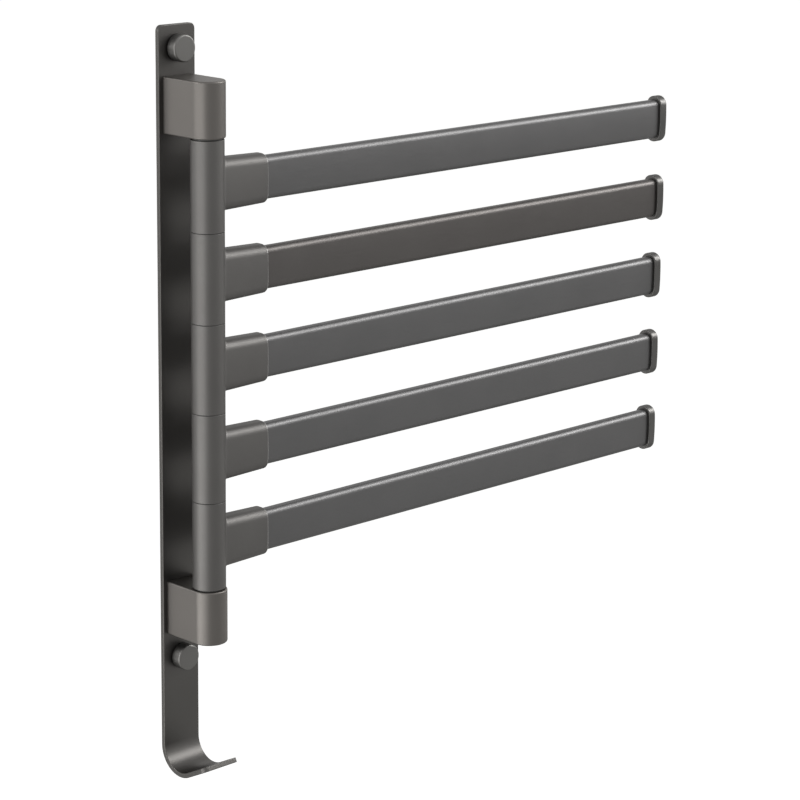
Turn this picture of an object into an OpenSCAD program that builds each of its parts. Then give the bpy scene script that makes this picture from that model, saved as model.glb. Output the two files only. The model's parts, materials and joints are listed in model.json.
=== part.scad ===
// Swing arm towel bar: five flat oval bars on hubs that turn about one upright rod.
// Two brackets hold the rod off a wall plate, whose lower end is bent into a hook.
// Millimetres. The origin is midway between the two wall screw holes, on the plate's back.
// +Z is up, the wall is the plane y = 0, the front faces -Y and the arms rest along +X.

/* [Wall plate] */
// Width of the plate
plate_w = 27.5; // [24:0.5:40]
// Thickness of the plate
plate_t = 3; // [2.5:0.25:4]
// Distance from each bracket to the wall screw hole beyond it
hole_gap = 15.85; // [9.5:0.05:40]
// Plate above the upper wall screw hole
plate_top = 13.5; // [12:0.5:40]
// Radius of the corners at both ends of the plate
plate_corner_r = 3.5; // [1:0.5:8]
// Break along the long edges of the plate
plate_edge = 0.4; // [0.1:0.1:0.8]
// Diameter of the wall screw holes
wall_hole_d = 5.2; // [4.2:0.1:6]

/* [Hook] */
// Straight plate between the lower hole and the bend
hook_drop = 55; // [20:1:120]
// Inner radius of the bend
hook_r = 14; // [8:0.5:24]
// Angle that the plate turns through
hook_turn = 117; // [95:1:150]
// Straight lip after the bend
hook_lip = 17.5; // [9:0.5:30]

/* [Brackets] */
// Distance of the pivot axis from the wall
axis_out = 29.3; // [26:0.1:45]
// Height of each bracket
bracket_h = 33.4; // [28:0.2:45]
// Radius of the round nose, and half the width of the block behind it
nose_r = 10.8; // [10.2:0.1:11.8]
// Break along the rims of the bracket
bracket_edge = 0.8; // [0.2:0.1:1.5]

/* [Pivot] */
// Diameter of the rod
rod_d = 8; // [6:0.5:8.5]
// Depth to which the rod sits in each bracket
rod_seat = 24; // [16:0.5:25]
// Outer diameter of the bushes
bush_d = 11; // [10.5:0.1:12]
// Length of a bush under its flange
bush_len = 9; // [5:0.5:14]
// Diameter of a bush's flange
flange_d = 16; // [14:0.2:17]
// Thickness of a bush's flange
flange_t = 1; // [0.6:0.1:1.6]
// Part of each flange that stands out of its hub
flange_out = 0.25; // [0.15:0.05:0.5]
// Diameter of the washers at both ends of the stack
washer_d = 17; // [15:0.2:19]
// Thickness of the washers
washer_t = 0.75; // [0.5:0.05:1.5]

/* [Hubs] */
// Diameter of the barrel
barrel_d = 20; // [18.5:0.5:20]
// Length of the barrel
hub_len = 53.5; // [45:0.5:70]
// Break along the rims of the barrel
barrel_edge = 0.3; // [0.1:0.1:0.8]
// Height of the sleeve where it leaves the barrel
sleeve_root_h = 31; // [30:0.2:36]
// Width of the sleeve where it leaves the barrel
sleeve_root_w = 15.6; // [14:0.2:17]
// Height of the sleeve at its mouth
sleeve_end_h = 29.6; // [28.6:0.2:34]
// Width of the sleeve at its mouth
sleeve_end_w = 15; // [13:0.2:16]
// Radius of the sleeve's long edges
sleeve_r = 5.8; // [4.5:0.1:6]
// Round of the sleeve's rim
sleeve_rim = 1.2; // [0.4:0.1:1.6]
// Fillet between the sleeve and the barrel
fillet_r = 1; // [1:0.5:5]
// Distance from the pivot axis to the sleeve's mouth
sleeve_reach = 41.4; // [38:0.2:60]
// Depth of the socket that holds the bar
socket_depth = 24; // [12:1:24]

/* [Bars] */
// Distance from the pivot axis to the outer end of the arm
arm_reach = 405; // [200:1:450]
// Height of the bar
bar_h = 26; // [22:0.2:26.4]
// Width of the bar
bar_w = 9.6; // [9:0.1:10.6]
// Radius of the bar's long edges
bar_r = 3.9; // [3:0.1:4.4]
// Wall of the hollow bar
bar_wall = 1.2; // [0.8:0.1:1.8]

/* [End caps] */
// Height of the cap's head
endcap_h = 31; // [28:0.2:36]
// Width of the cap's head
endcap_w = 13.2; // [12.6:0.2:17]
// Thickness of the cap's head
endcap_t = 6.6; // [3.6:0.2:9]
// Radius of the long edges of the head
endcap_r = 6.2; // [3:0.1:6.2]
// Round of the head's outer rim
endcap_rim = 1.2; // [0.3:0.1:2]
// Length of the plug inside the bar
plug_len = 14; // [8:1:24]
// Wall of the hollow plug
plug_wall = 1.4; // [1:0.1:1.6]
// Height of the crush ribs on the plug
rib_out = 0.3; // [0.1:0.1:0.5]
// Width of the crush ribs on the plug
rib_w = 1; // [0.6:0.1:2]

/* [Screw covers] */
// Diameter of the cover
cover_d = 17; // [15.4:0.1:18]
// Distance from the plate to the cover's face
cover_out = 6.7; // [6:0.1:10]
// Wall of the cover
cover_wall = 1.6; // [1:0.1:2]
// Break of the cover's rim
cover_edge = 0.8; // [0.2:0.1:1.2]
// Diameter of the base ring under the cover
base_d = 16.2; // [14.6:0.1:17]
// Thickness of the base ring
base_t = 2; // [1:0.1:2.4]
// Space inside the cover above the base's collar
collar_room = 1.1; // [0.5:0.1:1.2]
// Diameter of the pocket for the wall screw's head
head_pocket_d = 9.6; // [8.4:0.2:10.4]

/* [Screws] */
// Diameter of the bracket screws
bracket_screw_d = 4; // [3:0.5:4.5]
// Length of a bracket screw inside the bracket
bracket_screw_grip = 11; // [7:0.5:14]
// Distance between the two screws of a bracket
bracket_screw_gap = 18; // [14:1:20]
// Diameter of the screw that holds the rod
rod_screw_d = 5; // [3:0.5:5]
// Length of that screw inside the rod
rod_screw_grip = 8.6; // [5:0.2:16]

/* [Hidden] */
hubs = 5;
sides = ["upper", "lower"];

$fn = 72;
// Steps of one rounded corner in the lofted sleeve
corner_steps = 6;
// Angles at which the sleeve's fillet and rim are sectioned
fillet_angles = [80, 60, 40, 20, 0];
rim_angles = [0, 30, 60, 90];
// Clearance of the rod in its bushes and seats, and of pieces that seat in each other
run_gap = 0.05;
seat_gap = 0.05;
// Overrun of every cut past the face that it opens
over = 1;

plate_colour = "#5a5957";
arm_colour = "#5f5f5f";
trim_colour = "#4a4947";
steel_colour = "#b4b6b8";
nylon_colour = "#2c2c2c";

// Levels of the hub stack, which is centred on the origin's height
hub_pitch = hub_len + 2 * flange_out;
stack_half = (hubs * hub_pitch) / 2 + washer_t;
function hub_z(i) = ((hubs + 1) / 2 - i) * hub_pitch;
bracket_mid = stack_half + bracket_h / 2;
// Distance between the two wall screw holes
hole_spacing = 2 * (stack_half + bracket_h + hole_gap);
bend_z = -hole_spacing / 2 - hook_drop;
collar_h = cover_out - base_t - cover_wall - collar_room;
bar_start = sleeve_reach - socket_depth;
bar_end = arm_reach - endcap_t;
// Screws that end at a set depth in what they hold
bracket_screw_len = plate_t + bracket_screw_grip;
rod_screw_len = bracket_h - rod_seat + rod_screw_grip;
// Radius of a countersunk head in screw diameters
head_share = 1.05;

// Turns a shape drawn in X and Y and raised along Z so that it runs along +X, standing up
module along_x() {
    rotate([90, 0, 90]) children();
}

// Turns a shape that rises along +Z so that it comes out of the wall along -Y
module out_of_wall() {
    rotate([90, 0, 0]) children();
}

// Moves to the pivot axis
module at_axis() {
    translate([0, -axis_out, 0]) children();
}

// Rounded rectangle, w across and h up
module rounded_rect(w, h, r) {
    square([w - 2 * r, h], center = true);
    square([w, h - 2 * r], center = true);
    for (x = [-1, 1], y = [-1, 1])
        translate([x * (w / 2 - r), y * (h / 2 - r)]) circle(r);
}

// Rectangle with its corners cut off at 45 degrees
module broken_rect(w, h, edge) {
    polygon([
        [w / 2, h / 2 - edge], [w / 2 - edge, h / 2], [edge - w / 2, h / 2], [-w / 2, h / 2 - edge],
        [-w / 2, edge - h / 2], [edge - w / 2, -h / 2], [w / 2 - edge, -h / 2], [w / 2, edge - h / 2]
    ]);
}

// Cylinder along +Z with its lower and its upper rim broken
module broken_cylinder(d, h, low, high) {
    rotate_extrude()
        polygon([[0, 0], [d / 2 - low, 0], [d / 2, low], [d / 2, h - high], [d / 2 - high, h], [0, h]]);
}

// Strip of plate along +Y from the origin, with its thickness along X, its width along Z
// and its far end rounded, drawn smaller all round by the inset
module plate_strip(len, inset) {
    intersection() {
        rotate([-90, 0, 0])
            linear_extrude(len) broken_rect(plate_t - 2 * inset, plate_w - 2 * inset, plate_edge);
        translate([-plate_t, 0, 0])
            rotate([0, 90, 0])
                linear_extrude(2 * plate_t)
                    strip_outline(len);
    }
}

// Outline of the strip: square at the origin and rounded at y = len
module strip_outline(len) {
    translate([-plate_w / 2, 0]) square([plate_w, len - plate_corner_r]);
    translate([plate_corner_r - plate_w / 2, 0]) square([plate_w - 2 * plate_corner_r, len]);
    for (x = [-1, 1])
        translate([x * (plate_w / 2 - plate_corner_r), len - plate_corner_r]) circle(plate_corner_r);
}

// Countersunk screw along +Z with its flat head at z = 0 and a hexagon socket
module flat_screw(d, len) {
    head_h = d * (head_share - 0.5);
    difference() {
        rotate_extrude()
            polygon([[0, 0], [d * head_share, 0], [d / 2, head_h], [d / 2, len - d / 8], [d * 3 / 8, len], [0, len]]);
        translate([0, 0, -over]) cylinder(d = d * 0.6, h = over + head_h, $fn = 6);
    }
}

// Hole that such a screw needs in the piece that its head sits in
module flat_screw_hole(d, len) {
    head_h = d * (head_share - 0.5);
    translate([0, 0, -over]) cylinder(d = d + 4 * seat_gap, h = len + over);
    rotate_extrude()
        polygon([
            [0, -over], [d * head_share + seat_gap + over, -over], [d * head_share + seat_gap, 0],
            [d / 2 + seat_gap, head_h], [0, head_h]
        ]);
}

// The two screws of a bracket, seen from behind the plate
module at_bracket_screws(side) {
    for (z = [-1, 1])
        translate([0, 0, side * bracket_mid + z * bracket_screw_gap / 2]) out_of_wall() children();
}

// The lip starts inside the bend, thinner by a hair, so that the two join without a seam
module wall_plate() {
    lip_inset = plate_t / 300;
    lip_lap = plate_t / 8;
    color(plate_colour)
        difference() {
            union() {
                translate([0, -plate_t / 2, bend_z])
                    rotate([90, 0, 90])
                        plate_strip(hole_spacing / 2 + plate_top - bend_z, 0);
                translate([0, -plate_t - hook_r, bend_z])
                    rotate([-90, 0, 90]) {
                        rotate_extrude(angle = hook_turn)
                            translate([hook_r + plate_t / 2, 0]) broken_rect(plate_t, plate_w, plate_edge);
                        rotate([0, 0, hook_turn])
                            translate([hook_r + plate_t / 2, -lip_lap, 0])
                                plate_strip(hook_lip + lip_lap, lip_inset);
                    }
            }
            for (z = [-1, 1])
                translate([0, over, z * hole_spacing / 2])
                    out_of_wall() cylinder(d = wall_hole_d, h = plate_t + 2 * over);
            for (side = [-1, 1]) at_bracket_screws(side) flat_screw_hole(bracket_screw_d, plate_t + over);
        }
}

// Bracket with its inner face, which the rod enters, at z = 0 and its body above it
module bracket(screw_hole) {
    color(plate_colour)
        difference() {
            union() {
                at_axis() broken_cylinder(2 * nose_r, bracket_h, bracket_edge, bracket_edge);
                translate([0, -plate_t, bracket_h / 2])
                    rotate([90, 0, 0])
                        linear_extrude(axis_out - plate_t) broken_rect(2 * nose_r, bracket_h, bracket_edge);
            }
            at_axis() translate([0, 0, -over]) cylinder(d = rod_d + 2 * seat_gap, h = rod_seat + over);
            for (z = [-1, 1])
                translate([0, 0, bracket_h / 2 + z * bracket_screw_gap / 2])
                    out_of_wall() cylinder(d = bracket_screw_d + 2 * seat_gap, h = bracket_screw_len + seat_gap);
            if (screw_hole)
                at_axis() translate([0, 0, bracket_h]) mirror([0, 0, 1]) flat_screw_hole(rod_screw_d, bracket_h);
        }
}

module upper_bracket() {
    translate([0, 0, stack_half]) bracket(false);
}

module lower_bracket() {
    mirror([0, 0, 1]) translate([0, 0, stack_half]) bracket(true);
}

module bracket_screws(side) {
    color(steel_colour) at_bracket_screws(side) flat_screw(bracket_screw_d, bracket_screw_len);
}

module pivot_rod() {
    rod_len = 2 * (stack_half + rod_seat);
    rod_edge = rod_d / 16;
    color(steel_colour)
        at_axis()
            translate([0, 0, -rod_len / 2])
                difference() {
                    broken_cylinder(rod_d, rod_len, rod_edge, rod_edge);
                    translate([0, 0, -over])
                        cylinder(d = rod_screw_d + 2 * seat_gap, h = rod_screw_grip + 2 * over);
                }
}

module rod_screw() {
    color(steel_colour)
        at_axis() translate([0, 0, -stack_half - bracket_h]) flat_screw(rod_screw_d, rod_screw_len);
}

// Washer at one end of the stack
module end_washer(z) {
    color(nylon_colour)
        at_axis()
            translate([0, 0, z])
                difference() {
                    cylinder(d = washer_d, h = washer_t);
                    translate([0, 0, -over]) cylinder(d = rod_d + 2 * run_gap, h = washer_t + 2 * over);
                }
}

// Flanged bush with its outer face at z = 0 and its sleeve above it
module bush() {
    color(nylon_colour)
        rotate_extrude()
            polygon([
                [rod_d / 2 + run_gap, 0], [flange_d / 2, 0], [flange_d / 2, flange_t], [bush_d / 2, flange_t],
                [bush_d / 2, flange_t + bush_len], [rod_d / 2 + run_gap, flange_t + bush_len]
            ]);
}

module upper_bush(i) {
    at_axis() translate([0, 0, hub_z(i) + hub_pitch / 2]) mirror([0, 0, 1]) bush();
}

module lower_bush(i) {
    at_axis() translate([0, 0, hub_z(i) - hub_pitch / 2]) bush();
}

// Points of a rounded rectangle, w across Y and h up Z, at distance s from the pivot axis
function section(s, w, h, r) = [
    for (k = [0:3], j = [0:corner_steps])
        let (
            a = 90 * k + 90 * j / corner_steps,
            cy = (k == 0 || k == 3 ? 1 : -1) * (w / 2 - r),
            cz = (k < 2 ? 1 : -1) * (h / 2 - r)
        ) [s, cy + r * cos(a), cz + r * sin(a)]
];

// Solid through a list of sections with the same number of points
module loft(sections) {
    n = len(sections[0]);
    last = len(sections) - 1;
    walls = [
        for (k = [0:last - 1], j = [0:n - 1])
            let (a = k * n + j, b = k * n + (j + 1) % n)
                each [[a, a + n, b], [b, a + n, b + n]]
    ];
    ends = [[for (j = [0:n - 1]) j], [for (j = [n - 1:-1:0]) last * n + j]];
    polyhedron(concat([for (s = sections) each s], walls, []), concat(walls, ends));
}

// Sections of the sleeve: a fillet out of the barrel, a slight draft and a rounded rim
function sleeve_size(s, root, end) = root + (end - root) * (s - barrel_d / 2) / (sleeve_reach - barrel_d / 2);
function sleeve_section(s, grow_w, grow_h, r) = section(
    s,
    sleeve_size(s, sleeve_root_w, sleeve_end_w) + 2 * grow_w,
    sleeve_size(s, sleeve_root_h, sleeve_end_h) + 2 * grow_h,
    r
);

module sleeve() {
    fillet_end = barrel_d / 2 + fillet_r;
    rim_start = sleeve_reach - sleeve_rim;
    loft(concat(
        [sleeve_section(0, 0, fillet_r * (1 - cos(fillet_angles[0])), sleeve_r)],
        [for (a = fillet_angles)
            sleeve_section(fillet_end - fillet_r * sin(a), 0, fillet_r * (1 - cos(a)), sleeve_r)],
        [for (a = rim_angles)
            let (inset = sleeve_rim * (1 - cos(a)))
                sleeve_section(rim_start + sleeve_rim * sin(a), -inset, -inset, sleeve_r - inset)]
    ));
}

module arm_hub(i) {
    color(arm_colour)
        at_axis()
            translate([0, 0, hub_z(i)])
                difference() {
                    union() {
                        translate([0, 0, -hub_len / 2])
                            broken_cylinder(barrel_d, hub_len, barrel_edge, barrel_edge);
                        sleeve();
                    }
                    translate([0, 0, -hub_len / 2 - over])
                        cylinder(d = bush_d + 2 * seat_gap, h = hub_len + 2 * over);
                    for (z = [-1, 1])
                        translate([0, 0, z * hub_pitch / 2])
                            cylinder(d = flange_d + 2 * seat_gap, h = 2 * flange_t, center = true);
                    translate([bar_start, 0, 0])
                        along_x()
                            linear_extrude(socket_depth + over)
                                rounded_rect(bar_w + 2 * seat_gap, bar_h + 2 * seat_gap, bar_r + seat_gap);
                }
}

module arm_bar(i) {
    color(arm_colour)
        at_axis()
            translate([bar_start, 0, hub_z(i)])
                along_x()
                    linear_extrude(bar_end - bar_start)
                        difference() {
                            rounded_rect(bar_w, bar_h, bar_r);
                            rounded_rect(bar_w - 2 * bar_wall, bar_h - 2 * bar_wall, bar_r - bar_wall);
                        }
}

// Closed head with a hollow ribbed plug behind it
module arm_end_cap(i) {
    plug_gap = rib_out + seat_gap;
    plug_w = bar_w - 2 * (bar_wall + plug_gap);
    plug_h = bar_h - 2 * (bar_wall + plug_gap);
    plug_r = bar_r - bar_wall - plug_gap;
    color(trim_colour)
        at_axis()
            translate([bar_end, 0, hub_z(i)]) {
                loft([
                    for (a = [-90, -60, -30, 0])
                        let (inset = endcap_rim / 2 * (1 - cos(a)))
                            section(endcap_rim / 2 * (1 + sin(a)), endcap_w - 2 * inset, endcap_h - 2 * inset,
                                endcap_r - inset),
                    for (a = rim_angles)
                        let (inset = endcap_rim * (1 - cos(a)))
                            section(endcap_t - endcap_rim * (1 - sin(a)), endcap_w - 2 * inset,
                                endcap_h - 2 * inset, endcap_r - inset)
                ]);
                translate([-plug_len, 0, 0])
                    along_x()
                        linear_extrude(plug_len)
                            difference() {
                                union() {
                                    rounded_rect(plug_w, plug_h, plug_r);
                                    for (z = [-1, 1])
                                        translate([0, z * plug_h / 4])
                                            square([plug_w + 2 * rib_out, rib_w], center = true);
                                    square([rib_w, plug_h + 2 * rib_out], center = true);
                                }
                                rounded_rect(plug_w - 2 * plug_wall, plug_h - 2 * plug_wall,
                                    max(plug_r - plug_wall, plug_wall / 4));
                            }
            }
}

// Moves to a wall screw hole on the plate's front, with +Z out of the wall
module at_wall_screw(side) {
    translate([0, -plate_t, side * hole_spacing / 2]) out_of_wall() children();
}

// Ring that the wall screw clamps, with a collar that the cover turns onto
module cover_base(side) {
    cover_bore = cover_d - 2 * cover_wall;
    color(plate_colour)
        at_wall_screw(side)
            difference() {
                union() {
                    broken_cylinder(base_d, base_t, base_t / 10, base_t / 10);
                    cylinder(d = cover_bore - 2 * seat_gap, h = base_t + collar_h);
                }
                translate([0, 0, -over]) cylinder(d = wall_hole_d, h = base_t + 2 * over);
                translate([0, 0, base_t / 2]) cylinder(d = head_pocket_d, h = base_t + collar_h);
            }
}

module screw_cover(side) {
    cover_h = cover_out - base_t;
    color(plate_colour)
        at_wall_screw(side)
            translate([0, 0, base_t])
                difference() {
                    broken_cylinder(cover_d, cover_h, cover_edge / 4, cover_edge);
                    translate([0, 0, -over]) cylinder(d = cover_d - 2 * cover_wall, h = cover_h - cover_wall + over);
                }
}

wall_plate();
pivot_rod();
rod_screw();
end_washer(stack_half - washer_t);  // top_washer
end_washer(-stack_half);  // bottom_washer
upper_bracket();
lower_bracket();
bracket_screws(1);  // upper_bracket_screws
bracket_screws(-1);  // lower_bracket_screws
cover_base(1);  // upper_cover_base
cover_base(-1);  // lower_cover_base
screw_cover(1);  // upper_screw_cover
screw_cover(-1);  // lower_screw_cover
for (i = [1:hubs]) {
    arm_hub(i);
    upper_bush(i);
    lower_bush(i);
    arm_bar(i);
    arm_end_cap(i);
}
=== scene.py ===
# %% [markdown]
# A wall-mounted towel rail with five arms that swing about one rod, dressed for a picture.
# The imported model is the fixed frame: it already holds every piece at its real size and place.
# Blender adds the finish of each surface and finer meshes where rounded edges catch the light,
# so this first cell only loads the frame and finds the arms on their rod.

# %% Load the frame
import json
import math

import bmesh
import bpy
import numpy as np
from mathutils import Matrix, Vector


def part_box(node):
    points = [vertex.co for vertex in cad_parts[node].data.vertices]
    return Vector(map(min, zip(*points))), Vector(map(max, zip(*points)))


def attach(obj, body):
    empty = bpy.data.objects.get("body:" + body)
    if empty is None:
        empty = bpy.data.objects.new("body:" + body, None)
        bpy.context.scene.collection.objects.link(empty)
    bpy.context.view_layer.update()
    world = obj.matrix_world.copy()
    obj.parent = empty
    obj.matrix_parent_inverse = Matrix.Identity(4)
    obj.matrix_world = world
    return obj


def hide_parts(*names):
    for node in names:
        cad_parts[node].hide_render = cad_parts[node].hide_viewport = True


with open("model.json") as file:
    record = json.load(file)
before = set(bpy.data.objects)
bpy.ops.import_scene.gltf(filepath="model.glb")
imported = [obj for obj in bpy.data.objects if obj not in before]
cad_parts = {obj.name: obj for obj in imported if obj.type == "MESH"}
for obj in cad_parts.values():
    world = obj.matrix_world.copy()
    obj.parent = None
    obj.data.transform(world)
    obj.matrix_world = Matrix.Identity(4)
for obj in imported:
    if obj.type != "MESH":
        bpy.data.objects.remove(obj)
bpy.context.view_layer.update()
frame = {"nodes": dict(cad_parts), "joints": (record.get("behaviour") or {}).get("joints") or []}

MM = 0.001
arms = [joint["child"] for joint in frame["joints"]]
axis_y = frame["joints"][0]["pos_m"][1]
hub_heights = [joint["pos_m"][2] for joint in frame["joints"]]
print("arms:", arms, "on an axis", -axis_y / MM, "mm in front of the wall")

# %% [markdown]
# The picture was taken with a long lens from the front left, a little above the middle of the rail.
# A camera could be placed by eye, but here its direction, distance and lens are known numbers, so
# the rotation is built from the view direction itself: right and up vectors first, then the roll.

# %% Camera
def view_axes(azimuth, elevation, roll):
    """Right, up and back vectors of a camera: the level ones, turned about the view by the roll."""
    forward = Vector((-math.sin(azimuth) * math.cos(elevation),
                      math.cos(azimuth) * math.cos(elevation),
                      -math.sin(elevation)))
    right = Vector((math.cos(azimuth), math.sin(azimuth), 0))
    up = right.cross(forward)
    turned_right = right * math.cos(roll) + up * math.sin(roll)
    return turned_right, up * math.cos(roll) - right * math.sin(roll), -forward


look_at = Vector((188.864, 0, -57.83)) * MM
distance = 1772.9 * MM
right, up, back = view_axes(math.radians(-45.09), math.radians(14.38), math.radians(0.743))

camera = bpy.data.objects.new("camera", bpy.data.cameras.new("camera"))
bpy.context.scene.collection.objects.link(camera)
camera.data.sensor_width = 36
camera.data.lens = 123.517
camera.data.clip_end = 60  # far enough for the floor to reach its horizon
facing = Matrix((right, up, back)).transposed().to_4x4()
camera.matrix_world = Matrix.Translation(look_at + distance * back) @ facing
bpy.context.scene.camera = camera
print("camera at", [round(v, 3) for v in camera.matrix_world.translation])

# %% [markdown]
# Every finish below is a small tree of shader nodes. One helper adds a node, sets its properties and
# fills its sockets, and it links a socket wherever the value given is another node's output. A second
# helper turns the hex colours that painters use into the linear values that a renderer counts in.
# A mix node names its sockets alike for numbers and for colours, so those are given by their place in
# the list: 0 is the share, 2 and 3 are the two numbers, 6 and 7 the two colours.

# %% Helpers for materials
def linear_colour(hex_colour):
    """Linear RGBA of an sRGB hex colour: the display's curve undone channel by channel."""
    value = np.array([int(hex_colour[i:i + 2], 16) for i in (1, 3, 5)]) / 255
    linear = np.where(value <= 0.04045, value / 12.92, ((value + 0.055) / 1.055) ** 2.4)
    return (*linear, 1.0)


def add_node(tree, kind, inputs=None, **settings):
    """Adds one node with its settings; an input given as an output socket is linked, any other is set."""
    node = tree.nodes.new(kind)
    for name, value in settings.items():
        setattr(node, name, value)
    for name, value in (inputs or {}).items():
        if isinstance(value, bpy.types.NodeSocket):
            tree.links.new(value, node.inputs[name])
        else:
            node.inputs[name].default_value = value
    return node


def mix_colours(tree, share, first, second):
    """Output of a node that mixes two hex colours by a share between 0 and 1."""
    return add_node(tree, "ShaderNodeMix", {0: share, 6: linear_colour(first), 7: linear_colour(second)},
                    data_type="RGBA").outputs[2]


def spread(tree, noise, low, high):
    """Output that runs from low to high while a noise runs through the middle part of its range."""
    return add_node(tree, "ShaderNodeMapRange", {
        "Value": noise, "From Min": 0.3, "From Max": 0.7, "To Min": low, "To Max": high}).outputs["Result"]


def new_material(name):
    """An empty material with its tree and its output node."""
    material = bpy.data.materials.new(name)
    material.use_nodes = True
    material.node_tree.nodes.clear()
    return material, material.node_tree, add_node(material.node_tree, "ShaderNodeOutputMaterial")


print("black, middle grey and white in linear values:",
      [round(float(linear_colour(grey)[0]), 3) for grey in ("#000000", "#808080", "#ffffff")])


# %% [markdown]
# The metal pieces are aluminium with a satin gunmetal coat: a thin sprayed film with fine metal
# flake in it, baked on over a blasted surface. Three things give it away. Its highlights are broad
# and soft, its surface has a fine tooth, and its tone drifts very slightly from place to place.
# So the roughness is high, a fine noise feeds a bump, and a broad noise mixes two close greys.
# The real tooth is near 0.1 mm, which no pixel here can hold, so it is drawn coarser. The film also
# hides the bright rim that bare metal shows at a flat angle, so the edge tint holds that rim back.

# %% Satin gunmetal coat
cloud_size = 35 * MM
grain_share = 0.35


def satin_gunmetal(name, dark, light, roughness, tooth, tooth_depth, edge_tint=0.6, stretch=(1, 1, 1)):
    """Metallic coat: tone from broad noise, roughness and bump from fine noise of the tooth's size."""
    material, tree, output = new_material(name)
    place = add_node(tree, "ShaderNodeTexCoord").outputs["Object"]
    along = add_node(tree, "ShaderNodeMapping", {"Vector": place, "Scale": stretch}).outputs["Vector"]
    cloud = add_node(tree, "ShaderNodeTexNoise",
                     {"Vector": place, "Scale": 1 / cloud_size, "Detail": 3.0, "Roughness": 0.5})
    grain = add_node(tree, "ShaderNodeTexNoise",
                     {"Vector": along, "Scale": 1 / tooth, "Detail": 2.0, "Roughness": 0.6})
    blend = add_node(tree, "ShaderNodeMix",
                     {0: grain_share, 2: cloud.outputs["Fac"], 3: grain.outputs["Fac"]})
    bump = add_node(tree, "ShaderNodeBump",
                    {"Height": grain.outputs["Fac"], "Strength": 0.6, "Distance": tooth_depth})
    shader = add_node(tree, "ShaderNodeBsdfPrincipled", {
        "Base Color": mix_colours(tree, blend.outputs[0], dark, light), "Metallic": 1.0,
        "Roughness": spread(tree, grain.outputs["Fac"], roughness - 0.04, roughness + 0.05),
        "Specular Tint": (edge_tint, edge_tint, edge_tint, 1.0), "Normal": bump.outputs["Normal"]})
    tree.links.new(shader.outputs["BSDF"], output.inputs["Surface"])
    return material


tooth, tooth_depth = 0.5 * MM, 0.012 * MM
smooth_depth = 0.010 * MM
cast_tooth, cast_depth = 0.7 * MM, 0.035 * MM
along_the_draw = (1 / 30, 1, 1)
plate_coat = satin_gunmetal("satin_coat_on_plate", "#51504d", "#5a5857", 0.40, tooth, tooth_depth)
bracket_coat = satin_gunmetal("satin_coat_on_bracket", "#605d5a", "#696663", 0.47, tooth, tooth_depth, 0.66)
cover_coat = satin_gunmetal("satin_coat_on_cover", "#646361", "#6d6c6a", 0.44, tooth, tooth_depth)
hub_coat = satin_gunmetal("satin_coat_on_cast_hub", "#575554", "#656462", 0.50, cast_tooth, cast_depth)
# painted highlight: a much lighter coat for the sleeve's mouth, in place of the bright line its rim catches
painted_mouth_highlight_coat = satin_gunmetal("painted_highlight_on_sleeve_mouth", "#8b8988", "#9a9897", 0.34, tooth, smooth_depth,
                            0.8)
bar_coat = satin_gunmetal("satin_coat_on_drawn_bar", "#595959", "#656464", 0.43, tooth, smooth_depth,
                          stretch=along_the_draw)
# painted reflection: a warmer, darker coat for the second bar, for the warmer, dimmer surroundings it
# reflects
bar_coat_with_painted_reflection = satin_gunmetal("drawn_bar_coat_with_painted_warm_reflection", "#524f4e", "#5b5957", 0.43, tooth, smooth_depth,
                               stretch=along_the_draw)
cap_coat = satin_gunmetal("satin_coat_on_end_cap", "#545351", "#5c5b5a", 0.36, tooth, tooth_depth)
print("coats:", [coat.name for coat in (plate_coat, bracket_coat, cover_coat, hub_coat, painted_mouth_highlight_coat,
                                        bar_coat, bar_coat_with_painted_reflection, cap_coat)])

# %% [markdown]
# Inside the rail, and at the back of the plate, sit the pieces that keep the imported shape: the turned
# steel rod and screws, and the moulded nylon bushes and washers. Their shapes are right as they are, so
# they only get their finish. Turning leaves fine rings round the steel, and moulding leaves nylon dull.
# A wave texture draws the rings. Its bands repeat each pi / 10 units, so that length divided by the
# wanted pitch is the scale to give it.

# %% Steel and nylon
steel_cloud_size = 4 * MM
shallow = 0.01 * MM


def turned_steel(name, light, dark, roughness, ring_pitch):
    """Bare turned steel: tone and roughness drift, and the bump is a wave of one ring per tool pitch."""
    material, tree, output = new_material(name)
    place = add_node(tree, "ShaderNodeTexCoord").outputs["Object"]
    rings = add_node(tree, "ShaderNodeTexWave",
                     {"Vector": place, "Scale": math.pi / 10 / ring_pitch, "Distortion": 0.6},
                     wave_type="BANDS", bands_direction="Z")
    cloud = add_node(tree, "ShaderNodeTexNoise",
                     {"Vector": place, "Scale": 1 / steel_cloud_size, "Detail": 3.0}).outputs["Fac"]
    share = add_node(tree, "ShaderNodeMath", {0: cloud, 1: 0.4}, operation="MULTIPLY")
    bump = add_node(tree, "ShaderNodeBump",
                    {"Height": rings.outputs["Fac"], "Strength": 0.3, "Distance": shallow})
    shader = add_node(tree, "ShaderNodeBsdfPrincipled", {
        "Base Color": mix_colours(tree, share.outputs[0], light, dark), "Metallic": 1.0,
        "Roughness": spread(tree, cloud, roughness - 0.06, roughness + 0.06),
        "Normal": bump.outputs["Normal"]})
    tree.links.new(shader.outputs["BSDF"], output.inputs["Surface"])
    return material


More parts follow.
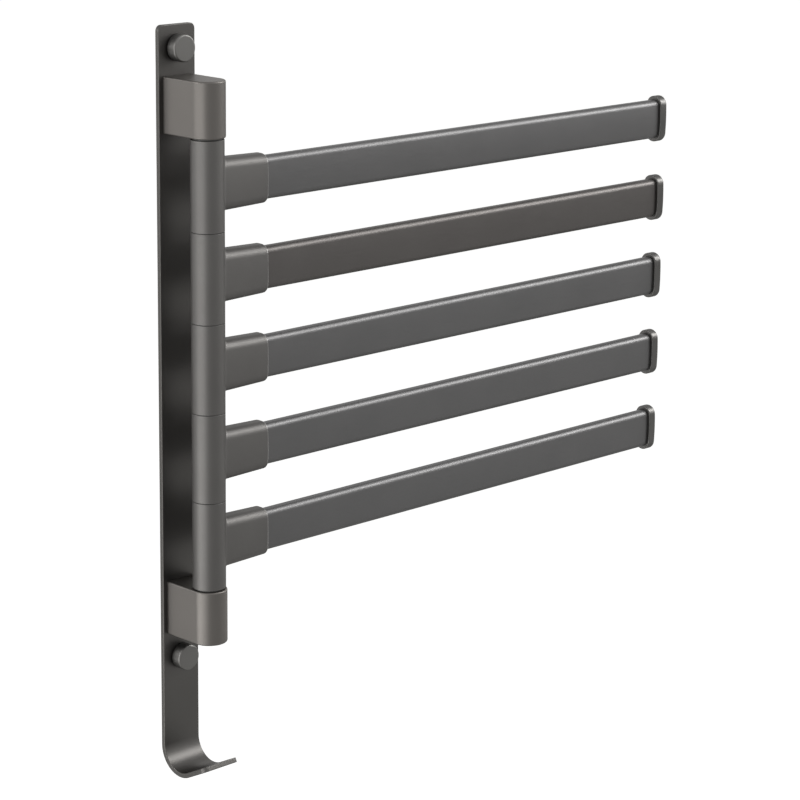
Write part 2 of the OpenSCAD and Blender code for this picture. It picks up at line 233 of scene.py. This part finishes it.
def moulded_nylon(name, dark, light, grain_size):
    """Grey nylon: a dull moulded skin whose tone and roughness drift with a fine grain."""
    material, tree, output = new_material(name)
    place = add_node(tree, "ShaderNodeTexCoord").outputs["Object"]
    grain = add_node(tree, "ShaderNodeTexNoise",
                     {"Vector": place, "Scale": 1 / grain_size, "Detail": 2.0}).outputs["Fac"]
    gloss = add_node(tree, "ShaderNodeMapRange", {"Value": grain, "To Min": 0.45, "To Max": 0.6})
    bump = add_node(tree, "ShaderNodeBump", {"Height": grain, "Strength": 0.4, "Distance": shallow})
    shader = add_node(tree, "ShaderNodeBsdfPrincipled", {
        "Base Color": mix_colours(tree, grain, dark, light), "Roughness": gloss.outputs["Result"],
        "Normal": bump.outputs["Normal"]})
    tree.links.new(shader.outputs["BSDF"], output.inputs["Surface"])
    return material


steel = turned_steel("turned_steel", "#b9bbbd", "#8f9193", 0.32, 0.8 * MM)
nylon = moulded_nylon("grey_nylon", "#636361", "#70706e", 0.6 * MM)
finish_by_last_word = {"rod": steel, "screw": steel, "screws": steel, "bush": nylon, "washer": nylon}
dressed = []
for name, node in frame["nodes"].items():
    finish = finish_by_last_word.get(name.split("_")[-1])
    if finish:
        node.data.materials.clear()
        node.data.materials.append(finish)
        dressed.append(name)
print("dressed in steel or nylon:", len(dressed), "nodes")

# %% [markdown]
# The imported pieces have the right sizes, but their edges are small flat breaks. On the real rail every
# edge is softened by the coat, and that rounding is what draws the bright lines in the picture. So each
# coated piece is made again as a surface with true rounds. The idea is always the same: a ring of
# points is carried along the piece, and neighbouring rings are joined by quads. Boolean cuts on cubes
# and cylinders could do it too, but they leave ragged triangles that shade badly round the edges.
# Long flat faces get a crown, a bulge of a quarter of a millimetre. Drawn and cast faces are never
# quite flat, and without it a whole face would flash at one angle.

# %% Rings of points made into a surface
def skin(rings, joined=False):
    """Quads between neighbouring rings; the ends get one face each, or are joined if the rings go round.

    A face points outwards where the ring runs counter-clockwise, seen against the way the rings follow.
    """
    rows, columns, _ = rings.shape
    row = np.arange(rows if joined else rows - 1)[:, None] * columns
    column = np.arange(columns)[None, :]
    beside = (column + 1) % columns
    above = (row + columns) % (rows * columns)
    quads = np.stack([row + column, row + beside, above + beside, above + column], axis=-1).reshape(-1, 4)
    faces = quads.tolist()
    if not joined:
        faces.append(list(range(columns))[::-1])
        faces.append(list(range((rows - 1) * columns, rows * columns)))
    return rings.reshape(-1, 3), faces


def arc(centre_r, centre_h, radius, start, end, steps=6):
    """Points (r, h) on a circle about a centre, from one angle to another in degrees."""
    angle = np.radians(np.linspace(start, end, steps + 1))
    return np.column_stack([centre_r + radius * np.cos(angle), centre_h + radius * np.sin(angle)])


def turned(profile, steps=96):
    """Rings of a turned piece: each point (r, h) of the profile goes once round the upright axis."""
    angle = np.linspace(0, 2 * np.pi, steps, endpoint=False)
    r, h = np.concatenate([np.atleast_2d(part) for part in profile]).T[:, :, None]
    return np.stack([r * np.cos(angle), r * np.sin(angle), h + 0 * angle], axis=-1)


def rounded_section(width, height, radius, crown=0.0, steps=9, rows=8):
    """Points (y, z) of a rounded rectangle: quarter circles at the corners and rows up both tall sides.

    The crown bulges the tall sides: they fall back from their middle with the square of the height.
    """
    turn = np.linspace(0, np.pi / 2, steps + 1)
    side = (height / 2 - radius) * np.linspace(1, -1, rows + 1)[1:-1]
    points = []
    for corner, (side_y, side_z) in enumerate(((1, 1), (-1, 1), (-1, -1), (1, -1))):
        angle = corner * np.pi / 2 + turn
        points.append(np.column_stack([side_y * (width / 2 - radius) + radius * np.cos(angle),
                                       side_z * (height / 2 - radius) + radius * np.sin(angle)]))
        if corner % 2:
            points.append(np.column_stack([np.full(side.size, side_y * width / 2), -side_y * side]))
    y, z = np.concatenate(points).T
    fall = crown * np.clip(z / (height / 2 - radius), -1, 1) ** 2
    return np.column_stack([y - np.sign(y) * fall, z])


def along_arm(x, section):
    """One ring of the arm: a section (y, z) stood up at the distance x from the rod."""
    return np.column_stack([np.broadcast_to(x, len(section)), section])


sharp_angle = math.radians(35)


def make_piece(name, shells, place, coat, body, nodes):
    """Builds one mesh from its shells at a place, shades its rounds smooth and puts it on its body."""
    starts = np.cumsum([0] + [len(points) for points, _ in shells])
    points = np.concatenate([points for points, _ in shells]) + np.array(place)
    faces = [[start + i for i in face] for start, (_, faces) in zip(starts, shells) for face in faces]
    mesh = bpy.data.meshes.new(name)
    mesh.from_pydata(points.tolist(), [], faces)
    mesh.shade_smooth()
    mesh.set_sharp_from_angle(angle=sharp_angle)
    mesh.materials.append(coat)
    piece = bpy.data.objects.new(name, mesh)
    bpy.context.scene.collection.objects.link(piece)
    flat_faces_lead = piece.modifiers.new("flat_faces_lead", "WEIGHTED_NORMAL")
    flat_faces_lead.keep_sharp = True
    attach(piece, body)
    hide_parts(*nodes)
    return piece


square = rounded_section(2, 2, 0.5)
print("a rounded square of side 2 has", len(square), "points and reaches", square.max(axis=0))

# %% [markdown]
# The bars are drawn flat oval tube. Its section is the same from end to end, so two rings outside and
# two inside are enough, joined at the ends into one closed wall. The second bar from the top gets a
# warmer and darker coat than its neighbours: a painted reflection of warmer, dimmer surroundings.

# %% Bars
crown = 0.25 * MM
bar_round = 3.9 * MM
bar_wall = 1.2 * MM
for arm, level in zip(arms, hub_heights):
    low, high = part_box(f"{arm}_bar")
    width, height = high.y - low.y, high.z - low.z
    outside = rounded_section(width, height, bar_round, crown)
    inside = rounded_section(width - 2 * bar_wall, height - 2 * bar_wall, bar_round - bar_wall, crown)
    rings = np.stack([along_arm(low.x, outside), along_arm(high.x, outside),
                      along_arm(high.x, inside), along_arm(low.x, inside)])
    # the second bar gets the coat with the painted warm reflection
    coat = bar_coat_with_painted_reflection if arm == arms[1] else bar_coat
    make_piece(f"{arm}_tube", [skin(rings, joined=True)], (0, axis_y, level), coat, arm,
               [f"{arm}_bar"])
print("bars:", round((high.x - low.x) / MM, 1), "mm of tube,",
      round(width / MM, 1), "x", round(height / MM, 1), "mm")

# %% [markdown]
# Each arm starts in a cast hub: a barrel that turns on the rod and a flat sleeve that holds the bar.
# The barrel is a turned piece. The sleeve is a rounded rectangle that tapers a little, as a casting
# must to leave its mould, and its foot runs into the barrel in a fillet. A fillet between a flat wall
# and a cylinder has no simple section, so it is drawn as a curve for each point of the ring: it starts
# on the barrel, aims at the corner where wall and barrel meet and ends on the wall. Two small things
# draw thin lines in the picture. The coat builds up at the barrel's ends, so the gap between two hubs
# is narrower than the bare metal leaves it. And the last stretch of the sleeve's mouth gets a much
# lighter coat: a painted highlight for the bright line along its rim.

# %% Hubs
barrel_r = 10 * MM
barrel_rim, coat_growth = 0.25 * MM, 0.15 * MM
bush_bore_r, flange_bore_r, flange_bore_depth = 5.55 * MM, 8.05 * MM, 0.75 * MM
buried_r = barrel_r - 1.5 * MM
sleeve_foot = np.array([15.6, 31]) * MM
sleeve_mouth = np.array([15, 29.6]) * MM
sleeve_round, sleeve_rim, foot_fillet = 5.8 * MM, 1.2 * MM, 1.6 * MM
seat_gap = 0.05 * MM
# length of the painted highlight at the sleeve's mouth
painted_highlight_band = 0.85 * MM


def barrel_shell(length):
    """Turned barrel with rounded rims, a bore for the bushes and a recess for their flanges."""
    half, rim, deep = length / 2 + coat_growth, barrel_rim, length / 2 - flange_bore_depth
    return skin(turned([
        arc(barrel_r - rim, -half + rim, rim, -90, 0), arc(barrel_r - rim, half - rim, rim, 0, 90),
        (flange_bore_r, half), (flange_bore_r, deep), (bush_bore_r, deep),
        (bush_bore_r, -deep), (flange_bore_r, -deep), (flange_bore_r, -half)]), joined=True)


def sleeve_section(x, reach, inset=0.0):
    """Section of the sleeve at x: foot and mouth sizes mixed in proportion, less the inset all round."""
    share = (x - barrel_r) / (reach - barrel_r)
    width, height = sleeve_foot + (sleeve_mouth - sleeve_foot) * share - 2 * inset
    return rounded_section(width, height, sleeve_round - inset, crown)


def sleeve_shell(reach, bar_start, bar_section):
    """Sleeve: a patch buried in the barrel, the fillet, the wall, the rounded rim and the socket.

    Each point of the fillet is a curve of second degree: (1-t)^2 start + 2t(1-t) corner + t^2 end.
    """
    foot = sleeve_section(barrel_r, reach)
    inner = sleeve_foot / 2 - sleeve_round
    outwards = (foot - np.clip(foot, -inner, inner)) / sleeve_round
    turn = np.arcsin(foot[:, 0] / barrel_r)
    spread_turn = turn + foot_fillet * outwards[:, 0] / barrel_r
    spread_z = foot[:, 1] + foot_fillet * outwards[:, 1]
    on_barrel = np.column_stack([barrel_r * np.cos(spread_turn), barrel_r * np.sin(spread_turn), spread_z])
    corner = np.column_stack([barrel_r * np.cos(turn), foot])
    on_wall = corner + [foot_fillet, 0, 0]
    t = np.linspace(0, 1, 8)[:, None, None]
    fillet = (1 - t) ** 2 * on_barrel + 2 * t * (1 - t) * corner + t ** 2 * on_wall
    share = np.linspace(0.02, 1, 6)[:, None]
    buried = np.stack([buried_r * np.cos(share * spread_turn), buried_r * np.sin(share * spread_turn),
                       share * spread_z], axis=-1)
    rim = [along_arm(reach - sleeve_rim * (1 - math.sin(a)),
                     sleeve_section(reach, reach, sleeve_rim * (1 - math.cos(a))))
           for a in np.radians(np.linspace(0, 90, 8))]
    socket = [along_arm(reach, bar_section), along_arm(bar_start, bar_section)]
    return skin(np.concatenate([buried, fillet, np.stack(rim + socket)]))


def paint_mouth_highlight(mesh, from_x):
    """Gives the much lighter coat, a painted highlight, to the faces past a distance from the rod."""
    middles = np.empty(3 * len(mesh.polygons))
    mesh.polygons.foreach_get("center", middles)
    mesh.materials.append(painted_mouth_highlight_coat)
    mesh.polygons.foreach_set("material_index", (middles[::3] > from_x).astype(int))


for arm, level in zip(arms, hub_heights):
    low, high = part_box(f"{arm}_hub")
    bar_low, bar_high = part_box(f"{arm}_bar")
    socket_section = rounded_section(bar_high.y - bar_low.y + 2 * seat_gap,
                                     bar_high.z - bar_low.z + 2 * seat_gap, bar_round + seat_gap, crown)
    shells = [barrel_shell(high.z - low.z), sleeve_shell(high.x, bar_low.x, socket_section)]
    casting = make_piece(f"{arm}_casting", shells, (0, axis_y, level), hub_coat, arm,
                         [f"{arm}_hub"])
    # painted highlight: the last stretch of each sleeve's mouth gets the much lighter coat
    paint_mouth_highlight(casting.data, high.x - painted_highlight_band)
print("hubs:", round((high.z - low.z) / MM, 1), "mm long,",
      round(high.x / MM, 1), "mm from the rod to the mouth")

# %% [markdown]
# Each bar is closed by a cap: a coated head with a ribbed plug that holds inside the bar. The head is
# a rounded section again, with a small round behind and a larger one in front. The plug is a tube, and
# its crush ribs are made by pushing the points of its outline outwards wherever they lie inside a rib.

# %% End caps
cap_round, cap_rim, cap_back_rim = 6.2 * MM, 1.4 * MM, 0.6 * MM
plug_length, plug_gap, plug_wall, plug_in_head = 14 * MM, 0.35 * MM, 1.4 * MM, 0.2 * MM
rib_height, rib_half = 0.3 * MM, 0.5 * MM


def cap_head(width, height, depth):
    """Head of the cap: a rounded section carried forwards, drawn in along a quarter circle at both rims."""
    def ring(x, inset):
        section = rounded_section(width - 2 * inset, height - 2 * inset, cap_round - inset, crown)
        return along_arm(x, section)

    turns = np.radians(np.linspace(0, 90, 9))
    back = [ring(cap_back_rim * (1 - math.cos(a)), cap_back_rim * (1 - math.sin(a))) for a in turns]
    front = [ring(depth - cap_rim * (1 - math.sin(a)), cap_rim * (1 - math.cos(a))) for a in turns]
    return skin(np.stack(back + front))


def cap_plug(width, height, radius):
    """Ribbed tube behind the head: the outline steps out by a rib's height near the middle of each rib."""
    outline = rounded_section(width, height, radius, steps=4)
    steps = np.linspace(0, 1, 12, endpoint=False)[None, :, None]
    dense = (outline[:, None] * (1 - steps) + np.roll(outline, -1, axis=0)[:, None] * steps).reshape(-1, 2)
    y, z = dense.T
    on_side = np.abs(np.abs(z) - height / 4) < rib_half
    on_top = np.abs(y) < rib_half
    ribbed = dense + rib_height * np.column_stack([np.sign(y) * on_side, np.sign(z) * (on_top & ~on_side)])
    inner = dense * (1 - 2 * plug_wall / np.array([width, height]))
    rings = np.stack([along_arm(-plug_length, ribbed), along_arm(plug_in_head, ribbed),
                      along_arm(plug_in_head, inner), along_arm(-plug_length, inner)])
    return skin(rings, joined=True)


for arm, level in zip(arms, hub_heights):
    low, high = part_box(f"{arm}_end_cap")
    bar_low, bar_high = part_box(f"{arm}_bar")
    plug_inset = 2 * (bar_wall + plug_gap)
    shells = [cap_head(high.y - low.y, high.z - low.z, high.x - bar_high.x),
              cap_plug(bar_high.y - bar_low.y - plug_inset, bar_high.z - bar_low.z - plug_inset,
                       bar_round - bar_wall - plug_gap)]
    make_piece(f"{arm}_cap", shells, (bar_high.x, axis_y, level), cap_coat, arm,
               [f"{arm}_end_cap"])
print("end caps:", round((high.x - bar_high.x) / MM, 1), "mm thick")

# %% [markdown]
# The brackets are blocks with a round nose, milled from the bar and bored for the rod. Seen along the
# rod the outline is a D, and every ring here has the same number of points at the same angles, so a
# ring can change from the D into the round bore on the way: up the outside, over the rim, down the hole.

# %% Brackets
nose_r, bracket_rim = 10.8 * MM, 1.0 * MM
rod_hole_r, rod_seat = 4.05 * MM, 24 * MM
screw_hole_r, screw_head_r, screw_head_depth = 2.6 * MM, 5.3 * MM, 2.75 * MM


def nose_outline(inset, back_y):
    """D seen from above: half a circle, a side, the back and the other side, drawn in by the inset."""
    radius = nose_r - inset
    turn = np.radians(np.linspace(180, 360, 49))
    sides, back = np.linspace(0, back_y, 7)[1:], np.linspace(radius, -radius, 9)[1:]
    x = np.concatenate([radius * np.cos(turn), np.full(6, radius), back, np.full(5, -radius)])
    y = np.concatenate([radius * np.sin(turn), sides, np.full(8, back_y), sides[-2::-1]])
    return x, y


def bracket_shell(height, back_y, screw_hole):
    """Rings from the blind end of the bore to its mouth, round the outside and back over the far face."""
    whole_x, whole_y = nose_outline(0, back_y)
    angle = np.arctan2(whole_y, whole_x)

    def hole_ring(radius, h):
        return np.column_stack([radius * np.cos(angle), radius * np.sin(angle), np.full(angle.size, h)])

    def outer_ring(inset, h):
        return np.column_stack([*nose_outline(inset, back_y), np.full(angle.size, h)])

    turns = np.radians(np.linspace(0, 90, 9))
    rings = [hole_ring(rod_hole_r, rod_seat), hole_ring(rod_hole_r, 0)]
    drawn_in, risen = bracket_rim * (1 - np.sin(turns)), bracket_rim * (1 - np.cos(turns))
    rings += [outer_ring(inset, h) for inset, h in zip(drawn_in, risen)]
    rings += [outer_ring(inset, height - h) for inset, h in zip(risen, drawn_in)]
    if screw_hole:
        rings += [hole_ring(screw_head_r, height), hole_ring(screw_hole_r, height - screw_head_depth),
                  hole_ring(screw_hole_r, rod_seat)]
    return skin(np.stack(rings), joined=screw_hole)


def upside_down(shell):
    """The same shell mirrored downwards, with each face turned round so that it still points outwards."""
    points, faces = shell
    return points * [1, 1, -1], [face[::-1] for face in faces]


for side, name in ((1, "upper_bracket"), (-1, "lower_bracket")):
    low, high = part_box(name)
    shell = bracket_shell(high.z - low.z, high.y - axis_y, side < 0)
    level = low.z if side > 0 else high.z
    make_piece(f"{name}_block", [shell if side > 0 else upside_down(shell)], (0, axis_y, level),
               bracket_coat, "wall_frame", [name])
print("brackets:", round((high.z - low.z) / MM, 1), "mm high, noses of", nose_r / MM, "mm radius")

# %% [markdown]
# The covers over the wall screws are shallow turned caps on a base ring. They are turned like the
# barrels and then tipped over, so that their axis points out of the wall. The frame's covers are a
# little wide and shallow beside the picture, so these are drawn half a millimetre in all round, on a
# thin and narrow ring, and deep enough to stand where the real ones do.

# %% Screw covers
cover_round, ring_round = 1.0 * MM, 0.25 * MM
cover_wall, cover_foot_round = 1.6 * MM, 0.2 * MM
cover_inset, ring_inset = 0.5 * MM, 0.8 * MM
cover_depth, ring_thickness = 6.6 * MM, 0.9 * MM
pole = 0.02 * MM
screw_pocket_r, wall_hole_r = 4.8 * MM, 2.6 * MM


def out_of_wall(shell):
    """Tips a shell whose axis is upright forwards, so that its top faces away from the wall."""
    points, faces = shell
    return points[:, [0, 2, 1]] * [1, -1, 1], faces


def cover_shell(radius, height):
    """Cup from the middle of its ceiling, down inside, round the mouth, up the side and over the face."""
    inner = radius - cover_wall
    return skin(turned([
        (pole, height - cover_wall), (inner, height - cover_wall), (inner, 0),
        arc(radius - cover_foot_round, cover_foot_round, cover_foot_round, -90, 0),
        arc(radius - cover_round, height - cover_round, cover_round, 0, 90, 9), (pole, height)]))


def base_ring_shell(radius, thickness, collar_r, height):
    """Ring with a rounded rim, a collar that the cover turns onto and a pocket for the screw's head."""
    return skin(turned([
        (wall_hole_r, 0), arc(radius - ring_round, ring_round, ring_round, -90, 0),
        arc(radius - ring_round, thickness - ring_round, ring_round, 0, 90), (collar_r, thickness),
        (collar_r, height), (screw_pocket_r, height), (screw_pocket_r, thickness / 2),
        (wall_hole_r, thickness / 2)]), joined=True)


for side in ("upper", "lower"):
    ring_low, ring_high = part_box(f"{side}_cover_base")
    low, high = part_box(f"{side}_screw_cover")
    level = (low.z + high.z) / 2
    cover_r = (high.x - low.x) / 2 - cover_inset
    ring_r = (ring_high.x - ring_low.x) / 2 - ring_inset
    foot_y = ring_high.y - ring_thickness
    make_piece(f"{side}_cover_cap", [out_of_wall(cover_shell(cover_r, cover_depth))], (0, foot_y, level),
               cover_coat, "wall_frame", [f"{side}_screw_cover"])
    ring = base_ring_shell(ring_r, ring_thickness, cover_r - cover_wall - seat_gap,
                           ring_high.y - ring_low.y)
    make_piece(f"{side}_cover_ring", [out_of_wall(ring)], (0, ring_high.y, level),
               plate_coat, "wall_frame", [f"{side}_cover_base"])
print("covers:", round(2 * cover_r / MM, 1), "mm across")

# %% [markdown]
# The wall plate is one strip of flat bar, punched, rounded at both ends and bent into the hook. A strip
# is a section carried along a path: straight down, round the bend and up the lip. Towards each end the
# section narrows, which rounds the corners. The holes can't come from the section, so the grid leaves
# out a block of faces round each hole, and the block's edge is joined to the rim of the hole instead.

# %% Wall plate
plate_t, plate_edge, plate_corner = 3 * MM, 0.5 * MM, 3.5 * MM
hook_r, hook_turn, lip_length = 14 * MM, math.radians(117), 17.5 * MM
front_columns, edge_steps, block_rows, block_half = 9, 4, 9, 7.5 * MM
countersink_r, countersink_depth, shank_r = 4.25 * MM, 2.2 * MM, 2.1 * MM


def strip_columns(half_width):
    """Section (u across, v forwards): the front from right to left, an edge, the back and an edge."""
    flat = np.linspace(half_width - plate_edge, plate_edge - half_width, front_columns)
    turn = np.radians(np.linspace(0, 180, 2 * edge_steps + 1))[1:-1]
    depth = np.where(turn < np.pi / 2, plate_t / 2 - plate_edge, plate_edge - plate_t / 2)
    edge = np.column_stack([-(half_width - plate_edge) - plate_edge * np.sin(turn),
                            depth + plate_edge * np.cos(turn)])
    front = np.column_stack([flat, np.full(front_columns, plate_t / 2)])
    half = np.concatenate([front, edge])
    return np.concatenate([half, -half])


def end_shares(distance, half_width):
    """Shares of width and thickness left near an end: quarter circles of the corner and the edge."""
    corner = plate_corner - np.clip(distance, 0, plate_corner)
    edge = plate_edge - np.clip(distance, 0, plate_edge)
    drawn_in = plate_edge - np.sqrt(plate_edge ** 2 - edge ** 2)
    width = half_width - plate_corner + np.sqrt(plate_corner ** 2 - corner ** 2) - drawn_in
    return width / half_width, 1 - drawn_in / (plate_t / 2)


def plate_shell(half_width, top, bend_z, holes):
    """Strip along its path with its holes, each (height, front radius, back radius, depth of the flare)."""
    rounding = np.unique(np.concatenate([radius * (1 - np.cos(np.radians(np.linspace(0, 90, 8))))
                                         for radius in (plate_corner, plate_edge)]))
    blocks = [level + np.linspace(block_half, -block_half, block_rows) for level, *_ in holes]
    straight = np.concatenate([top - rounding, *blocks, [bend_z]])
    bend = np.linspace(0, hook_turn, 49)[1:]
    lip = np.concatenate([[lip_length / 2], lip_length - rounding[::-1]])
    ring_r = hook_r + plate_t / 2
    turn = np.concatenate([0 * straight, bend, np.full(lip.size, hook_turn)])
    past = np.concatenate([0 * straight, 0 * bend, lip])
    along_y = -plate_t - hook_r + ring_r * np.cos(turn) - past * np.sin(turn)
    along_z = bend_z - ring_r * np.sin(turn) - past * np.cos(turn)
    along_z[:straight.size] = straight
    to_end = np.full(turn.size, np.inf)
    to_end[:rounding.size] = rounding
    to_end[-rounding.size:] = rounding[::-1]
    wide, thick = end_shares(to_end, half_width)
    u, v = strip_columns(half_width).T
    y = along_y[:, None] - v * thick[:, None] * np.cos(turn)[:, None]
    z = along_z[:, None] + v * thick[:, None] * np.sin(turn)[:, None]
    points, faces = skin(np.stack([u * wide[:, None], y, z], axis=-1))

    columns = u.size
    last = front_columns - 1
    back = columns // 2 + np.arange(front_columns)[::-1]
    cut, joins = set(), []
    for number, (level, front_r, back_r, flare) in enumerate(holes):
        first = rounding.size + number * block_rows
        rows = first + np.arange(block_rows)
        loop = [(rows[0], c) for c in range(last)] + [(r, last) for r in rows[:-1]]
        loop += [(rows[-1], c) for c in range(last, 0, -1)] + [(r, 0) for r in rows[:0:-1]]
        row, column = np.array(loop).T
        cut.update((r, c) for r in rows[:-1] for c in range(last))
        cut.update((r, columns // 2 + c) for r in rows[:-1] for c in range(last))
        edge = points[row * columns + column]
        angle = np.arctan2(edge[:, 2] - level, edge[:, 0])
        rims = [(front_r, -plate_t), (front_r, -flare), (back_r, 0)]
        rings = [np.column_stack([radius * np.cos(angle), np.full(angle.size, depth),
                                  level + radius * np.sin(angle)]) for radius, depth in rims]
        base = len(points)
        points = np.concatenate([points, *rings])
        loops = [row * columns + column]
        loops += [base + k * angle.size + np.arange(angle.size) for k in range(len(rims))]
        loops.append(row * columns + back[column])
        for one, other in zip(loops, loops[1:]):
            joins += np.column_stack([one, np.roll(one, -1), np.roll(other, -1), other]).tolist()
    kept = [face for number, face in enumerate(faces) if divmod(number, columns) not in cut]
    return points, kept + joins


def face_outwards(mesh):
    """Turns every face of a closed mesh outwards."""
    shape = bmesh.new()
    shape.from_mesh(mesh)
    bmesh.ops.recalc_face_normals(shape, faces=shape.faces)
    shape.to_mesh(mesh)
    shape.free()


low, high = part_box("wall_plate")
holes = []
for side in ("upper", "lower"):
    cover_low, cover_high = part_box(f"{side}_screw_cover")
    screws_low, screws_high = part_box(f"{side}_bracket_screws")
    head_r = screws_high.x
    holes.append(((cover_low.z + cover_high.z) / 2, wall_hole_r, wall_hole_r, plate_t / 2))
    holes += [(level, shank_r, countersink_r, countersink_depth)
              for level in (screws_low.z + head_r, screws_high.z - head_r)]
holes.sort(reverse=True)
shell = plate_shell(high.x, high.z, low.z + hook_r + plate_t, holes)
plate = make_piece("bent_plate", [shell], (0, 0, 0), plate_coat, "wall_frame", ["wall_plate"])
face_outwards(plate.data)
print("wall plate:", round(2 * high.x / MM, 1), "mm wide, holes at",
      [round(hole[0] / MM, 1) for hole in holes])

# %% [markdown]
# The studio is a white room: a pale floor far below the rail, a white surround and soft boxes.
# The surround is drawn white only where the camera or a reflection looks at it, and it lights the
# rail at a plain level otherwise, so that no colour is burnt out. The floor is paint with a glow. The
# camera sees more of the glow, so that the floor melts into the surround, and the metal sees less of
# it, so that every underside stays darker than the front above it.

# %% Surround and floor
def seen_directly(tree, in_camera=1.0, in_metal=1.0):
    """One level for camera rays, one for glossy and transmission rays and 0 for any other ray."""
    def calculate(operation, first, second):
        return add_node(tree, "ShaderNodeMath", {0: first, 1: second}, operation=operation).outputs[0]

    path = add_node(tree, "ShaderNodeLightPath").outputs
    camera_level = calculate("MULTIPLY", path["Is Camera Ray"], in_camera)
    mirrored = calculate("MAXIMUM", path["Is Glossy Ray"], path["Is Transmission Ray"])
    return calculate("MAXIMUM", camera_level, calculate("MULTIPLY", mirrored, in_metal))


pure_white = linear_colour("#ffffff")
ambient_level, white_level = 0.45, 1.0
world = bpy.data.worlds.new("white_room")
world.use_nodes = True
tree = world.node_tree
tree.nodes.clear()
ambient = add_node(tree, "ShaderNodeBackground", {"Color": pure_white, "Strength": ambient_level})
white = add_node(tree, "ShaderNodeBackground", {"Color": pure_white, "Strength": white_level})
mixed = add_node(tree, "ShaderNodeMixShader",
                 {0: seen_directly(tree), 1: ambient.outputs[0], 2: white.outputs[0]})
add_node(tree, "ShaderNodeOutputWorld", {"Surface": mixed.outputs[0]})
bpy.context.scene.world = world

floor_level, floor_half = -1.6, 25.0
floor_glow, floor_glow_in_metal = 0.7, 0.22
floor_mesh = bpy.data.meshes.new("floor")
floor_mesh.from_pydata([(x * floor_half, y * floor_half, floor_level)
                        for x, y in ((-1, -1), (1, -1), (1, 1), (-1, 1))], [], [(0, 1, 2, 3)])
floor = bpy.data.objects.new("floor", floor_mesh)
bpy.context.scene.collection.objects.link(floor)
floor_paint, tree, output = new_material("pale_floor")
matte = add_node(tree, "ShaderNodeBsdfDiffuse", {"Color": linear_colour("#dcdcda")})
glow = add_node(tree, "ShaderNodeEmission", {
    "Color": pure_white, "Strength": seen_directly(tree, floor_glow, floor_glow_in_metal)})
both = add_node(tree, "ShaderNodeAddShader", {0: matte.outputs[0], 1: glow.outputs[0]})
tree.links.new(both.outputs[0], output.inputs["Surface"])
floor_mesh.materials.append(floor_paint)
print("floor:", -floor_level, "m below the rail, white surround at", white_level)

# %% [markdown]
# Soft boxes do the modelling. A satin metal shows a broad, dim picture of what stands around it, so
# each box is placed where a face of the rail looks: the big ones to the left draw the bright band
# down the hubs, the one up on the right lights the bars' upper edges, and the small ones keep the
# sides apart. They stand on one sphere round the rail, which makes their powers comparable. Each row
# below gives the direction in degrees, the size in metres and the power in watts.

# %% Soft boxes
lamp_distance = 2.0
lamp_aim = Vector((0.12, -0.02, -0.03))


def soft_box(name, azimuth, elevation, width, height, power):
    """Rectangular lamp on the sphere: azimuth in degrees from +X towards +Y, elevation above the level."""
    turn, rise = math.radians(azimuth), math.radians(elevation)
    towards = Vector((math.cos(turn) * math.cos(rise), math.sin(turn) * math.cos(rise), math.sin(rise)))
    lamp = bpy.data.objects.new(name, bpy.data.lights.new(name, "AREA"))
    bpy.context.scene.collection.objects.link(lamp)
    lamp.data.shape = "RECTANGLE"
    lamp.data.size = width
    lamp.data.size_y = height
    lamp.data.energy = power
    lamp.location = lamp_aim + lamp_distance * towards
    lamp.rotation_mode = "QUATERNION"
    lamp.rotation_quaternion = (-towards).to_track_quat("-Z", "Y")


soft_boxes = [
    ("left_high_box", 160, 20, 0.7, 0.7, 14.5),
    ("left_low_box", 165, -23, 1.0, 0.7, 13),
    ("left_front_box", 197, -10, 0.8, 0.8, 8.5),
    ("left_back_box", 120, -5, 0.7, 0.7, 2.2),
    ("right_box", 340, 20, 0.7, 0.7, 16),
    ("right_high_box", 318, 36, 1.0, 1.0, 16.5),
    ("right_low_box", 0, -18, 0.6, 0.6, 2.0),
    ("front_low_box", 322, -20, 0.7, 0.7, 0.9),
    ("back_box", 42, 26, 0.7, 0.7, 1.6),
]
for row in soft_boxes:
    soft_box(*row)
print("soft boxes:", len(soft_boxes), "with", sum(row[-1] for row in soft_boxes), "W in all")

# %% [markdown]
# The last cell sets the plain view transform, under which a colour renders about as it was written.

# %% View transform
bpy.context.scene.view_settings.view_transform = "Standard"
bpy.context.view_layer.update()
